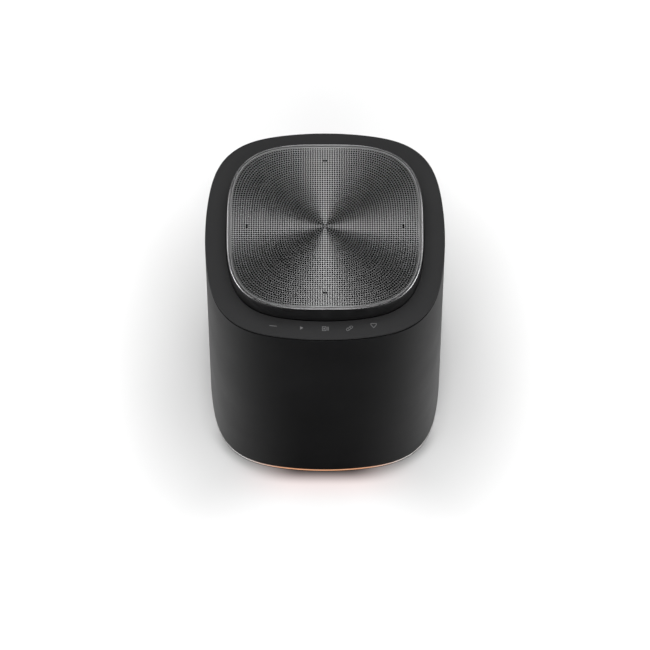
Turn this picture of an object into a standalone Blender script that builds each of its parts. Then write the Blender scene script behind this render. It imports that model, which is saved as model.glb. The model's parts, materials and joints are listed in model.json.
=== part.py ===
"""Smart speaker: a rounded-square tower with a raised perforated metal cap on its top deck,
touch keys along the deck's front edge, a light ring at the base, and one upward-firing
full-range driver over a sealed chamber.

Frame: origin at the centre of the footprint on the floor, +Z up, the touch keys face -Y.
All dimensions below are in millimetres; every object is built in metres.
"""

import math

import bmesh
import bpy
from mathutils import Matrix, Vector

MM = 0.001

# ---------------------------------------------------------------- driving dimensions (mm)
HALF = 65.0             # half width and half depth of the body across its flats
SQ_N = 3.07             # superellipse exponent of the plan outline
SQ_C8 = -0.005          # small eighth-order correction of the same outline
DECK_Z = 151.6          # top surface of the deck
TOP_Z = 161.0           # top edge of the trim ring
WALL = 2.6              # side shell wall
SHELL_Z0, SHELL_Z1 = 2.45, 149.8
CAP_BASE = 53.5         # half width of the trim ring where it leaves the deck
TRIM_IN = 51.55         # half width of the opening in the trim ring
PLATE_Z = 160.85        # top surface of the perforated plate, just below the trim ring's edge
PLATE_T = 0.85          # thickness of the perforated plate
MIC_R = 41.9            # distance of each microphone slot from the centre
MIC_SLOT = (3.0, 0.75)  # slot length and width
BAFFLE_Z0, BAFFLE_Z1 = 136.8, 140.0
TUB_Z0, TUB_Z1 = 34.0, 135.4
TUB_HALF, TUB_WALL = 60.3, 2.5
JACK_Z = 21.2           # height of the power inlet's axis
BOARD_Z = 14.0          # underside of the main board
DRIVER_BOLT_R = 40.1    # radius of the driver's screw circle
CORNER_SCREW = 43.5     # x and y of each baffle screw
BASE_SCREW = 35.5       # x and y of each base screw
TRAVEL = 3.0            # one-way travel of the cone

SEG_SQ = 64             # segments round a rounded-square piece of the outer casing
SEG_IN = 40             # segments round a rounded-square piece inside
SEG_RD = 24             # segments round a driver piece
SEG_SM = 20             # segments round a small driver piece

# ---------------------------------------------------------------- finishes
FINISH = {
    "shell": ((0.017, 0.017, 0.018), 0.48, 0.0),
    "deck": ((0.036, 0.036, 0.037), 0.55, 0.0),
    "trim": ((0.30, 0.30, 0.305), 0.22, 1.0),
    "grille": ((0.20, 0.20, 0.205), 0.35, 1.0),
    "cloth": ((0.01, 0.01, 0.01), 0.95, 0.0),
    "frame": ((0.02, 0.02, 0.02), 0.6, 0.0),
    "light": ((0.85, 0.50, 0.30), 0.35, 0.0),
    "rubber": ((0.02, 0.02, 0.02), 0.85, 0.0),
    "steel": ((0.55, 0.55, 0.56), 0.35, 1.0),
    "ferrite": ((0.05, 0.05, 0.055), 0.6, 0.0),
    "paper": ((0.04, 0.04, 0.042), 0.8, 0.0),
    "spider": ((0.55, 0.35, 0.12), 0.85, 0.0),
    "copper": ((0.72, 0.36, 0.2), 0.35, 1.0),
    "pcb": ((0.015, 0.10, 0.045), 0.5, 0.0),
    "alu": ((0.7, 0.7, 0.72), 0.35, 1.0),
    "foam": ((0.03, 0.03, 0.03), 0.95, 0.0),
    "cable": ((0.02, 0.02, 0.02), 0.55, 0.0),
    "ribbon": ((0.5, 0.25, 0.06), 0.45, 0.0),
    "socket": ((0.75, 0.72, 0.65), 0.5, 0.0),
}

# ---------------------------------------------------------------- scene
for old in list(bpy.data.objects):
    bpy.data.objects.remove(old, do_unlink=True)

parts = bpy.data.collections.new("smart_speaker")
tools = bpy.data.collections.new("cutters")
bpy.context.scene.collection.children.link(parts)
bpy.context.scene.collection.children.link(tools)


def material(name, key):
    colour, rough, metal = FINISH[key]
    m = bpy.data.materials.new(name)
    m.use_nodes = True
    bsdf = m.node_tree.nodes["Principled BSDF"]
    bsdf.inputs["Base Color"].default_value = (*colour, 1.0)
    bsdf.inputs["Roughness"].default_value = rough
    bsdf.inputs["Metallic"].default_value = metal
    return m


def finish(obj, key):
    """Gives a part its own material and smooth shading with sharp corners kept."""
    obj.data.materials.clear()
    obj.data.materials.append(material(obj.name, key))
    if obj.type == "MESH":
        obj.data.shade_smooth()
        obj.data.set_sharp_from_angle(angle=math.radians(32))
    return obj


def helper(obj):
    """Turns an object into a hidden cutter or joining shape."""
    for c in obj.users_collection:
        c.objects.unlink(obj)
    tools.objects.link(obj)
    obj.hide_render = True
    obj.display_type = "WIRE"
    return obj


def from_bmesh(name, bm):
    mesh = bpy.data.meshes.new(name)
    bmesh.ops.recalc_face_normals(bm, faces=bm.faces)
    bm.to_mesh(mesh)
    bm.free()
    obj = bpy.data.objects.new(name, mesh)
    parts.objects.link(obj)
    return obj


def squircle(theta):
    """Polar radius of the plan outline for a half width of 1."""
    c, s = abs(math.cos(theta)), abs(math.sin(theta))
    r = (c ** SQ_N + s ** SQ_N) ** (-1.0 / SQ_N)
    return r * (1.0 + SQ_C8 * (1.0 - math.cos(8.0 * theta)))


def turned(name, profile, closed, segments, square=False, centre=(0.0, 0.0), round_below=0.0):
    """A Screw of a profile of (radius, z). With square set, the radius is a half width and the
    turned mesh is reshaped to the rounded-square outline, apart from radii under round_below."""
    mesh = bpy.data.meshes.new(name + "_profile")
    verts = [(r * MM, 0.0, z * MM) for r, z in profile]
    edges = [(i, i + 1) for i in range(len(verts) - 1)]
    if closed:
        edges.append((len(verts) - 1, 0))
    mesh.from_pydata(verts, edges, [])
    seed = bpy.data.objects.new(name + "_profile", mesh)
    parts.objects.link(seed)
    screw = seed.modifiers.new("Screw", "SCREW")
    screw.axis = "Z"
    screw.angle = math.tau
    screw.steps = segments
    screw.render_steps = segments
    screw.use_merge_vertices = True
    screw.merge_threshold = 0.00001
    bpy.context.view_layer.update()
    graph = bpy.context.evaluated_depsgraph_get()
    made = bpy.data.meshes.new_from_object(seed.evaluated_get(graph))
    bpy.data.objects.remove(seed, do_unlink=True)
    bm = bmesh.new()
    bm.from_mesh(made)
    bpy.data.meshes.remove(made)
    bmesh.ops.remove_doubles(bm, verts=bm.verts, dist=0.000002)
    if square:
        for v in bm.verts:
            if math.hypot(v.co.x, v.co.y) > max(1e-7, round_below * MM):
                k = squircle(math.atan2(v.co.y, v.co.x))
                v.co.x *= k
                v.co.y *= k
    obj = from_bmesh(name, bm)
    obj.location = (centre[0] * MM, centre[1] * MM, 0.0)
    return obj


def box(name, low, high, turn=0.0):
    """A box between two corners, then turned about Z at the origin."""
    bm = bmesh.new()
    bmesh.ops.create_cube(bm, size=1.0)
    size = [(high[i] - low[i]) * MM for i in range(3)]
    mid = [(high[i] + low[i]) * 0.5 * MM for i in range(3)]
    bmesh.ops.scale(bm, vec=Vector(size), verts=bm.verts)
    bmesh.ops.translate(bm, vec=Vector(mid), verts=bm.verts)
    if turn:
        bmesh.ops.rotate(bm, cent=(0, 0, 0), matrix=Matrix.Rotation(turn, 3, "Z"), verts=bm.verts)
    return from_bmesh(name, bm)


def rod(name, radius, start, end, segments=20):
    """A cylinder from one point to another."""
    a, b = Vector(start) * MM, Vector(end) * MM
    axis = b - a
    bm = bmesh.new()
    bmesh.ops.create_cone(bm, cap_ends=True, segments=segments, radius1=radius * MM,
                          radius2=radius * MM, depth=axis.length)
    # an odd turn about its own axis keeps a cylinder's corners off the radial edges that it cuts
    bmesh.ops.rotate(bm, cent=(0, 0, 0), matrix=Matrix.Rotation(0.137, 3, "Z"), verts=bm.verts)
    turn = axis.to_track_quat("Z", "Y").to_matrix()
    bmesh.ops.rotate(bm, cent=(0, 0, 0), matrix=turn, verts=bm.verts)
    bmesh.ops.translate(bm, vec=(a + b) * 0.5, verts=bm.verts)
    return from_bmesh(name, bm)


def plate(name, outline, z0, z1):
    """A flat outline of (x, y) given thickness: a filled 2D curve with an extrusion."""
    curve = bpy.data.curves.new(name, "CURVE")
    curve.dimensions = "2D"
    curve.fill_mode = "BOTH"
    curve.extrude = (z1 - z0) * 0.5 * MM
    line = curve.splines.new("POLY")
    line.points.add(len(outline) - 1)
    for p, (x, y) in zip(line.points, outline):
        p.co = (x * MM, y * MM, 0.0, 1.0)
    line.use_cyclic_u = True
    obj = bpy.data.objects.new(name, curve)
    parts.objects.link(obj)
    obj.location = (0.0, 0.0, (z0 + z1) * 0.5 * MM)
    return obj


def boolean(obj, other, operation):
    mod = obj.modifiers.new(operation.title(), "BOOLEAN")
    mod.operation = operation
    mod.object = helper(other)
    mod.solver = "EXACT"
    return obj


def cut(obj, *others):
    for other in others:
        boolean(obj, other, "DIFFERENCE")
    return obj


def join(obj, *others):
    for other in others:
        boolean(obj, other, "UNION")
    return obj


def corners(at):
    return [(at, at), (-at, at), (-at, -at), (at, -at)]


def screw_part(name, x, y, z_seat, up, head_r, head_h, shank_r, length):
    """A pan-head screw. Its head sits on z_seat; its shank runs down, or up if up is set."""
    s = 1.0 if up else -1.0
    profile = [
        (0.0, z_seat - s * head_h),
        (head_r * 0.75, z_seat - s * head_h),
        (head_r, z_seat - s * head_h * 0.55),
        (head_r, z_seat),
        (shank_r, z_seat),
        (shank_r, z_seat + s * (length - 1.2)),
        (0.0, z_seat + s * length),
    ]
    obj = turned(name, profile, False, 10, centre=(x, y))
    slot_low = z_seat - s * head_h - 0.6
    slot_high = z_seat - s * head_h + 0.6
    slot = box(name + "_slot", (-0.35, -head_r * 0.6, slot_low), (0.35, head_r * 0.6, slot_high))
    slot.location = (x * MM, y * MM, 0.0)
    cut(obj, slot)
    return finish(obj, "steel")


# ---------------------------------------------------------------- outer casing
shell = turned("side_shell", [
    (HALF - 0.35, SHELL_Z1), (HALF, SHELL_Z1 - 0.35), (HALF, SHELL_Z0 + 0.4), (HALF - 0.4, SHELL_Z0),
    (HALF - WALL, SHELL_Z0), (HALF - WALL, SHELL_Z1 - 0.5)], True, SEG_SQ, square=True)
cut(shell, rod("shell_jack_hole", 7.0, (0, 55, JACK_Z), (0, 70, JACK_Z), 28))
finish(shell, "shell")

deck = turned("top_deck", [
    (64.45, DECK_Z), (64.9, DECK_Z - 0.4), (64.9, DECK_Z - 0.85), (62.0, DECK_Z - 0.85),
    (62.0, DECK_Z - 2.3), (53.75, DECK_Z - 2.3), (53.75, DECK_Z - 0.25), (53.95, DECK_Z)],
    True, SEG_SQ, square=True)
finish(deck, "deck")

RIBBON_Y = -61.6
carrier = turned("deck_carrier", [
    (61.9, 149.0), (61.9, 140.3), (59.8, 140.3), (59.8, 145.9), (54.3, 145.9), (54.3, 147.4),
    (59.8, 147.4), (59.8, 149.0)], True, SEG_IN, square=True)
cut(carrier,
    box("carrier_notch", (-6, -66, 147.7), (6, -59.2, 151)),
    box("carrier_channel", (-6, -66, 139), (6, RIBBON_Y + 0.45, 148.2)))
finish(carrier, "frame")

trim = turned("trim_ring", [
    (TRIM_IN, TOP_Z), (51.9, TOP_Z), (52.5, TOP_Z - 0.6), (52.75, TOP_Z - 1.5), (CAP_BASE, DECK_Z),
    (CAP_BASE, 148.6), (TRIM_IN, 148.6)], True, SEG_SQ, square=True)
finish(trim, "trim")

grille = turned("grille_plate", [
    (0.0, PLATE_Z), (50.95, PLATE_Z), (51.2, PLATE_Z - 0.25), (51.2, PLATE_Z - PLATE_T),
    (0.0, PLATE_Z - PLATE_T)], False, SEG_SQ, square=True)
for k in range(4):
    cut(grille, box(f"mic_slot_{k}", (MIC_R - MIC_SLOT[1] / 2, -MIC_SLOT[0] / 2, PLATE_Z - 3),
                    (MIC_R + MIC_SLOT[1] / 2, MIC_SLOT[0] / 2, PLATE_Z + 2), turn=k * math.pi / 2))
finish(grille, "grille")

cloth = turned("acoustic_cloth", [(0.0, 159.7), (50.9, 159.7), (50.9, 159.3), (0.0, 159.3)],
               False, SEG_IN, square=True)
finish(cloth, "cloth")

gframe = turned("grille_frame", [(51.0, 159.0), (51.0, 140.3), (48.0, 140.3), (48.0, 159.0)],
                True, SEG_IN, square=True)
for k in range(4):
    join(gframe, box(f"mic_tab_{k}", (36.5, -6.5, 154.4), (49.6, 6.5, 156.4), turn=k * math.pi / 2))
finish(gframe, "frame")

light = turned("light_ring", [
    (64.95, 2.2), (64.95, 0.6), (63.6, 0.6), (63.6, 1.6), (60.8, 1.6), (60.8, 7.2), (61.9, 7.2),
    (61.9, 2.2)],
    True, SEG_SQ, square=True)
finish(light, "light")

base = turned("base_plate", [
    (0.0, 5.0), (60.4, 5.0), (60.4, 1.3), (63.3, 1.3), (63.3, 0.5), (59.8, 0.5), (59.8, 1.5),
    (50.2, 1.5), (50.2, 0.5), (0.0, 0.5)], False, SEG_IN, square=True)
for k, (x, y) in enumerate([(20, -34), (-20, -34), (26, 45), (-26, 45)]):
    join(base, rod(f"standoff_{k}", 3.0, (x, y, 4.0), (x, y, 13.7), 12))
for k, s in enumerate((1, -1)):
    join(base, box(f"antenna_rib_{k}", (min(s * 55.8, s * 57.0), -10, 4.2),
                   (max(s * 55.8, s * 57.0), 10, 17)))
for k, (x, y) in enumerate(corners(BASE_SCREW)):
    cut(base, rod(f"base_bore_{k}", 1.9, (x, y, 0), (x, y, 6), 10),
        rod(f"base_counterbore_{k}", 3.8, (x, y, -1), (x, y, 3.5), 14))
finish(base, "frame")

foot = turned("foot_pad", [(59.5, 1.1), (59.5, 0.3), (59.1, 0.0), (50.9, 0.0), (50.5, 0.3), (50.5, 1.1)],
              True, SEG_IN, square=True)
finish(foot, "rubber")

bezel = rod("jack_bezel", 6.7, (0, 58.4, JACK_Z), (0, 64.8, JACK_Z), 28)
cut(bezel, rod("bezel_recess", 5.4, (0, 59.9, JACK_Z), (0, 68, JACK_Z), 28),
    rod("bezel_bore", 4.3, (0, 55, JACK_Z), (0, 62, JACK_Z), 28))
finish(bezel, "frame")

jack = box("dc_jack", (-4.8, 45.0, BOARD_Z + 1.9), (4.8, 58.1, 26.4))
join(jack, rod("jack_barrel", 4.0, (0, 57, JACK_Z), (0, 60.0, JACK_Z), 20))
cut(jack, rod("jack_bore", 3.1, (0, 49, JACK_Z), (0, 64, JACK_Z), 20))
join(jack, rod("jack_pin", 1.0, (0, 48, JACK_Z), (0, 59.2, JACK_Z), 12))
finish(jack, "cable")

# ---------------------------------------------------------------- touch keys and microphones
TOUCH_SPAN = math.radians(33)
steps = 14
arc = []
for i in range(steps + 1):
    t = -math.pi / 2 - TOUCH_SPAN + 2 * TOUCH_SPAN * i / steps
    arc.append((59.4 * squircle(t) * math.cos(t), 59.4 * squircle(t) * math.sin(t)))
for i in range(steps + 1):
    t = -math.pi / 2 + TOUCH_SPAN - 2 * TOUCH_SPAN * i / steps
    arc.append((55.0 * squircle(t) * math.cos(t), 55.0 * squircle(t) * math.sin(t)))
touch = plate("touch_board", arc, 147.7, 148.9)
finish(touch, "pcb")

SIDES = ("right", "rear", "left", "front")
for k, side in enumerate(SIDES):
    turn = k * math.pi / 2
    board = box(f"mic_board_{side}", (37.5, -5.5, 156.7), (46.5, 5.5, 157.7), turn=turn)
    finish(board, "pcb")
    boot = turned(f"mic_boot_{side}", [(3.0, 159.0), (3.0, 158.0), (0.8, 158.0), (0.8, 159.0)],
                  True, 12, centre=(MIC_R * math.cos(turn), MIC_R * math.sin(turn)))
    finish(boot, "rubber")

# touch keys' flat cable: down the front between chamber and shell, then back to the main board
route = [(-59.75, 148.3), (-61.0, 148.3), (-61.45, 148.1), (RIBBON_Y, 147.6), (RIBBON_Y, 22.0),
         (-61.2, 19.0), (-59.6, 17.2), (-57.0, 16.7), (-37.6, 16.7)]
curve = bpy.data.curves.new("touch_ribbon", "CURVE")
curve.dimensions = "3D"
curve.extrude = 4.5 * MM
line = curve.splines.new("POLY")
line.points.add(len(route) - 1)
for p, (y, z) in zip(line.points, route):
    p.co = (y * MM, z * MM, 0.0, 1.0)
seed = bpy.data.objects.new("ribbon_line", curve)
parts.objects.link(seed)
seed.matrix_world = Matrix(((0, 0, 1, 0), (1, 0, 0, 0), (0, 1, 0, 0), (0, 0, 0, 1)))
bpy.context.view_layer.update()
flat = bpy.data.meshes.new_from_object(seed.evaluated_get(bpy.context.evaluated_depsgraph_get()))
ribbon = bpy.data.objects.new("touch_ribbon", flat)
ribbon.matrix_world = seed.matrix_world
parts.objects.link(ribbon)
bpy.data.objects.remove(seed, do_unlink=True)
thick = ribbon.modifiers.new("Solidify", "SOLIDIFY")
thick.thickness = 0.3 * MM
thick.offset = 0.0
finish(ribbon, "ribbon")

# ---------------------------------------------------------------- full-range driver
basket = turned("driver_basket", [
    (43.2, 143.2), (43.2, 141.3), (34.8, 141.3), (34.2, 139.6), (25.6, 118.0), (25.6, 113.8),
    (12.0, 113.8), (12.0, 115.2), (21.0, 115.2), (21.0, 118.6), (24.2, 118.6), (32.6, 139.8),
    (33.2, 141.6), (33.2, 143.2)], True, SEG_RD)
for k in range(4):
    cut(basket, box(f"basket_window_{k}", (18, -11, 121), (40, 11, 137.5),
                    turn=math.pi / 4 + k * math.pi / 2))
for k in range(4):
    a = math.pi / 4 + k * math.pi / 2
    x, y = DRIVER_BOLT_R * math.cos(a), DRIVER_BOLT_R * math.sin(a)
    cut(basket, rod(f"basket_hole_{k}", 1.9, (x, y, 139), (x, y, 146), 10))
finish(basket, "steel")

dgasket = turned("driver_gasket", [(37.0, 141.0), (37.0, 140.3), (35.1, 140.3), (35.1, 141.0)], True, SEG_RD)
finish(dgasket, "foam")


def roll(cx, cz, radius, a0, a1, count):
    return [(cx + radius * math.cos(math.radians(a0 + (a1 - a0) * i / (count - 1))),
             cz + radius * math.sin(math.radians(a0 + (a1 - a0) * i / (count - 1)))) for i in range(count)]


surround = turned("surround",
                  [(37.0, 144.2), (37.0, 143.5)] + roll(30.6, 143.5, 2.3, 0, 180, 6)
                  + [(25.4, 143.4), (25.4, 144.1)] + roll(30.6, 143.5, 3.0, 168, 12, 7), True, SEG_RD)
finish(surround, "rubber")

cone = turned("cone", [
    (27.6, 143.1), (27.6, 142.4), (25.5, 142.4), (11.2, 130.0), (11.2, 128.6), (10.2, 128.6),
    (10.2, 130.6), (25.1, 143.1)], True, SEG_RD)
finish(cone, "paper")

dust = turned("dust_cap", [
    (0.0, 138.7), (4.0, 138.3), (8.0, 137.0), (11.0, 135.2), (13.1, 133.5), (12.4, 133.3),
    (10.6, 134.5), (7.8, 136.2), (3.9, 137.5), (0.0, 137.9)], False, SEG_SM)
finish(dust, "paper")

coil = turned("voice_coil", [
    (9.9, 131.5), (9.9, 113.4), (10.5, 113.4), (10.5, 107.0), (9.9, 107.0), (9.9, 106.0),
    (9.3, 106.0), (9.3, 131.5)], True, SEG_SM)
finish(coil, "copper")

waves = [(23.9, 119.4), (21.0, 119.4), (19.4, 120.3), (17.8, 119.4), (16.2, 120.3), (14.6, 119.4),
         (13.0, 120.3), (11.6, 119.5), (11.2, 120.6), (10.2, 120.6)]
under = [(10.2, 119.0), (11.6, 119.0), (13.0, 119.8), (14.6, 118.9), (16.2, 119.8), (17.8, 118.9),
         (19.4, 119.8), (21.0, 118.9), (23.9, 118.9)]
spider = turned("spider", list(reversed(waves + under)), True, SEG_SM)
finish(spider, "spider")

tplate = turned("top_plate", [(26.0, 113.5), (26.0, 109.5), (11.0, 109.5), (11.0, 113.5)], True, SEG_RD)
finish(tplate, "steel")
magnet = turned("magnet", [(28.6, 109.2), (29.0, 108.8), (29.0, 99.0), (28.6, 98.6), (14.0, 98.6), (14.0, 109.2)],
                True, SEG_RD)
finish(magnet, "ferrite")
yoke = turned("yoke", [
    (8.8, 113.5), (8.8, 98.3), (25.0, 98.3), (25.0, 94.8), (24.5, 94.3), (2.5, 94.3), (2.5, 113.5)],
    True, SEG_RD)
finish(yoke, "steel")

terminals = box("driver_terminals", (-33.6, -5.0, 121.0), (-30.0, 5.0, 127.0))
join(terminals, box("terminal_tag_a", (-36.2, -3.4, 123.4), (-33.0, -1.6, 124.2)),
     box("terminal_tag_b", (-36.2, 1.6, 123.4), (-33.0, 3.4, 124.2)))
finish(terminals, "socket")

for k in range(4):
    a = math.pi / 4 + k * math.pi / 2
    screw_part(f"driver_screw_{k + 1}", DRIVER_BOLT_R * math.cos(a), DRIVER_BOLT_R * math.sin(a),
               143.5, False, 2.7, 1.7, 1.5, 10.0)

# ---------------------------------------------------------------- baffle and sealed chamber
baffle = turned("baffle", [(35.5, BAFFLE_Z1), (61.8, BAFFLE_Z1), (61.8, BAFFLE_Z0), (35.5, BAFFLE_Z0)],
                True, SEG_IN, square=True, round_below=36.0)
for k, (x, y) in enumerate(corners(CORNER_SCREW)):
    cut(baffle, rod(f"baffle_bore_{k}", 1.9, (x, y, 134), (x, y, 143), 10))
for k in range(4):
    a = math.pi / 4 + k * math.pi / 2
    x, y = DRIVER_BOLT_R * math.cos(a), DRIVER_BOLT_R * math.sin(a)
    cut(baffle, rod(f"baffle_pilot_{k}", 1.8, (x, y, 134), (x, y, 143), 10))
cut(baffle, box("baffle_channel", (-6, -66, 134), (6, RIBBON_Y + 0.45, 142)))
finish(baffle, "frame")

tub = turned("chamber_tub", [
    (0.0, TUB_Z0 + TUB_WALL), (TUB_HALF - TUB_WALL, TUB_Z0 + TUB_WALL), (TUB_HALF - TUB_WALL, TUB_Z1),
    (61.8, TUB_Z1), (61.8, 133.4), (TUB_HALF, 132.0), (TUB_HALF, TUB_Z0), (0.0, TUB_Z0)],
    False, SEG_IN, square=True)
for k, (x, y) in enumerate(corners(CORNER_SCREW)):
    join(tub, rod(f"tub_boss_{k}", 4.2, (x, y, 35.2), (x, y, TUB_Z1 - 0.2), 12))
for k, (x, y) in enumerate(corners(BASE_SCREW)):
    join(tub, rod(f"tub_post_{k}", 4.0, (x, y, 5.3), (x, y, 35.0), 12))
for k, (x, y) in enumerate(corners(CORNER_SCREW)):
    cut(tub, rod(f"tub_pilot_{k}", 1.8, (x, y, 122), (x, y, 138), 10))
for k, (x, y) in enumerate(corners(BASE_SCREW)):
    cut(tub, rod(f"post_pilot_{k}", 1.8, (x, y, 2), (x, y, 22), 10))
CABLE_AT = (-30.0, -10.0)
cut(tub, rod("cable_hole", 3.3, (*CABLE_AT, 30), (*CABLE_AT, 40), 18))
cut(tub, box("tub_channel", (-6, -66, 131), (6, RIBBON_Y + 0.45, 137)))
finish(tub, "frame")

seal = turned("chamber_seal", [(60.8, 136.5), (60.8, 135.7), (58.3, 135.7), (58.3, 136.5)],
              True, SEG_IN, square=True)
finish(seal, "foam")

for k, (x, y) in enumerate(corners(CORNER_SCREW)):
    screw_part(f"baffle_screw_{k + 1}", x, y, 140.3, False, 3.2, 1.9, 1.5, 15.0)
for k, (x, y) in enumerate(corners(BASE_SCREW)):
    screw_part(f"base_screw_{k + 1}", x, y, 3.2, True, 3.3, 1.5, 1.5, 14.0)

grommet = turned("cable_grommet", [
    (4.6, 38.4), (4.6, 36.8), (3.0, 36.8), (3.0, 33.7), (4.6, 33.7), (4.6, 32.2),
    (1.9, 32.2), (1.9, 38.4)], True, 14, centre=CABLE_AT)
finish(grommet, "rubber")

# ---------------------------------------------------------------- electronics bay
board = box("main_board", (-31.0, -38.0, BOARD_Z), (31.0, 50.0, BOARD_Z + 1.6))
finish(board, "pcb")
TOP = BOARD_Z + 1.9

bm = bmesh.new()
bmesh.ops.create_cube(bm, size=1.0)
bmesh.ops.delete(bm, geom=[f for f in bm.faces if f.normal.z < -0.5], context="FACES")
bmesh.ops.scale(bm, vec=Vector((30 * MM, 30 * MM, 3.4 * MM)), verts=bm.verts)
mesh = bpy.data.meshes.new("soc_shield")
bm.to_mesh(mesh)
bm.free()
shield = bpy.data.objects.new("soc_shield", mesh)
parts.objects.link(shield)
shield.location = (12 * MM, -12 * MM, (TOP + 1.7) * MM)
can = shield.modifiers.new("Solidify", "SOLIDIFY")
can.thickness = 0.4 * MM
can.offset = -1.0
finish(shield, "alu")

FINS = 7
comb = [(-15.0, 0.0), (15.0, 0.0)]
pitch = 30.0 / (FINS - 0.5)
for i in range(FINS):
    x1 = 15.0 - i * pitch
    x0 = x1 - pitch * 0.5
    comb += [(x1, 10.0), (x0, 10.0)]
    if i < FINS - 1:
        comb += [(x0, 2.2), (x0 - pitch * 0.5, 2.2)]
sink = plate("amp_heatsink", comb, -9.0, 9.0)
sink.rotation_euler = (math.pi / 2, 0.0, 0.0)
sink.location = (-14 * MM, 22 * MM, TOP * MM)
finish(sink, "alu")

for k, (x, y) in enumerate([(22.0, 30.0), (22.0, 14.0)]):
    z = TOP
    c = turned(f"capacitor_{k + 1}", [
        (0.0, z + 15.6), (5.2, z + 15.6), (6.0, z + 15.2), (6.0, z + 2.6), (5.5, z + 2.0),
        (6.0, z + 1.4), (6.0, z), (0.0, z)], False, 14, centre=(x, y))
    finish(c, "alu")

spk = box("speaker_socket", (-27.5, -21.0, TOP), (-17.5, -14.0, TOP + 6.6))
cut(spk, box("speaker_cavity", (-26.3, -22.0, TOP + 1.2), (-18.7, -16.0, TOP + 5.6)))
finish(spk, "socket")
rib = box("ribbon_socket", (-6.0, -37.2, TOP), (6.0, -33.0, TOP + 2.4))
finish(rib, "socket")

for side, s in (("right", 1), ("left", -1)):
    ant = box(f"antenna_{side}", (min(s * 57.3, s * 58.1), -15, 9.0), (max(s * 57.3, s * 58.1), 15, 17.5))
    finish(ant, "pcb")

leds = turned("led_board", [(60.2, 6.3), (60.2, 5.3), (57.6, 5.3), (57.6, 6.3)], True, SEG_IN, square=True)
for k in range(12):
    a = math.pi / 12 + k * math.pi / 6
    r = 58.9 * squircle(a)
    led = box(f"led_{k}", (-1.1, -1.1, 6.0), (1.1, 1.1, 7.1), turn=a)
    led.location = (r * math.cos(a) * MM, r * math.sin(a) * MM, 0.0)
    join(leds, led)
finish(leds, "pcb")

# driver lead: from the basket's terminals, down the chamber, through the grommet to its socket
knots = [(-37.0, 0.0, 122.0), (-41.5, -1.0, 116.0), (-45.5, -4.0, 98.0), (-46.5, -8.0, 76.0),
         (-44.0, -11.0, 56.0), (-36.0, -11.5, 45.0), (-31.0, -10.4, 40.5), (-30.0, -10.0, 35.3),
         (-30.0, -10.0, 30.5), (-30.8, -13.5, 27.0), (-31.0, -21.5, 23.6), (-28.3, -27.2, 20.6),
         (-24.4, -28.0, 19.3), (-23.0, -24.5, 19.3), (-23.0, -18.2, 19.3)]


def catmull(points, per):
    out = []
    for i in range(len(points) - 1):
        p0 = Vector(points[max(i - 1, 0)])
        p1, p2 = Vector(points[i]), Vector(points[i + 1])
        p3 = Vector(points[min(i + 2, len(points) - 1)])
        for j in range(per):
            t = j / per
            out.append(0.5 * ((2 * p1) + (p2 - p0) * t + (2 * p0 - 5 * p1 + 4 * p2 - p3) * t * t
                              + (3 * p1 - p0 - 3 * p2 + p3) * t ** 3))
    out.append(Vector(points[-1]))
    return out


lead = bpy.data.curves.new("speaker_cable", "CURVE")
lead.dimensions = "3D"
lead.bevel_depth = 1.3 * MM
lead.bevel_resolution = 2
lead.use_fill_caps = True
pts = catmull(knots, 2)
line = lead.splines.new("POLY")
line.points.add(len(pts) - 1)
for p, v in zip(line.points, pts):
    p.co = (v.x * MM, v.y * MM, v.z * MM, 1.0)
cable = bpy.data.objects.new("speaker_cable", lead)
parts.objects.link(cable)
finish(cable, "cable")
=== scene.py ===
"""The smart speaker's looks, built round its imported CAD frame."""

import json
import math

import bmesh
import bpy
import numpy as np
from mathutils import Matrix, Vector


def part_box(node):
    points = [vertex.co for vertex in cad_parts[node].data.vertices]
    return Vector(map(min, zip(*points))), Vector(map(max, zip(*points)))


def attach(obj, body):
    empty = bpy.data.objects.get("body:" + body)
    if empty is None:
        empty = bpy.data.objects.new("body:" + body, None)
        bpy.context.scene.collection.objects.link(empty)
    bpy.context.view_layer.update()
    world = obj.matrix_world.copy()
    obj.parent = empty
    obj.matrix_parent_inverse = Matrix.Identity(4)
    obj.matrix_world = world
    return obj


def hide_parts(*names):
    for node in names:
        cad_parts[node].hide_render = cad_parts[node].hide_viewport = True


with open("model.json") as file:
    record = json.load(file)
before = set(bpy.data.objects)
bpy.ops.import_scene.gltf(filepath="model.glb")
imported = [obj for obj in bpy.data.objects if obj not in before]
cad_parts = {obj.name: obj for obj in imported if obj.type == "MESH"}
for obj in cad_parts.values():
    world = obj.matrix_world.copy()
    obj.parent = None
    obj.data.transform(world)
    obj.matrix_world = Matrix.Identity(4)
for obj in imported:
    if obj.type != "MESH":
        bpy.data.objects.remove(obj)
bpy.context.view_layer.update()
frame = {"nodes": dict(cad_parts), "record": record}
MM = 0.001
ENCLOSURE = "enclosure"

# ------------------------------------------------------------------ sizes read from the frame (mm)


def limits(node):
    low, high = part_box(node)
    return [v / MM for v in low], [v / MM for v in high]


shell_low, shell_high = limits("side_shell")
deck_low, deck_high = limits("top_deck")
trim_low, trim_high = limits("trim_ring")
plate_low, plate_high = limits("grille_plate")
light_low, light_high = limits("light_ring")
base_low, base_high = limits("base_plate")
foot_low, foot_high = limits("foot_pad")
bezel_low, bezel_high = limits("jack_bezel")
jack_low, jack_high = limits("dc_jack")

HALF = shell_high[0]
DECK_Z = deck_high[2]
TOP_Z = trim_high[2]
PLATE_Z = plate_high[2]
JACK_Z = (bezel_low[2] + bezel_high[2]) / 2
SQ_N, SQ_C8 = 3.07, -0.005

# ------------------------------------------------------------------ geometry helpers


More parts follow.
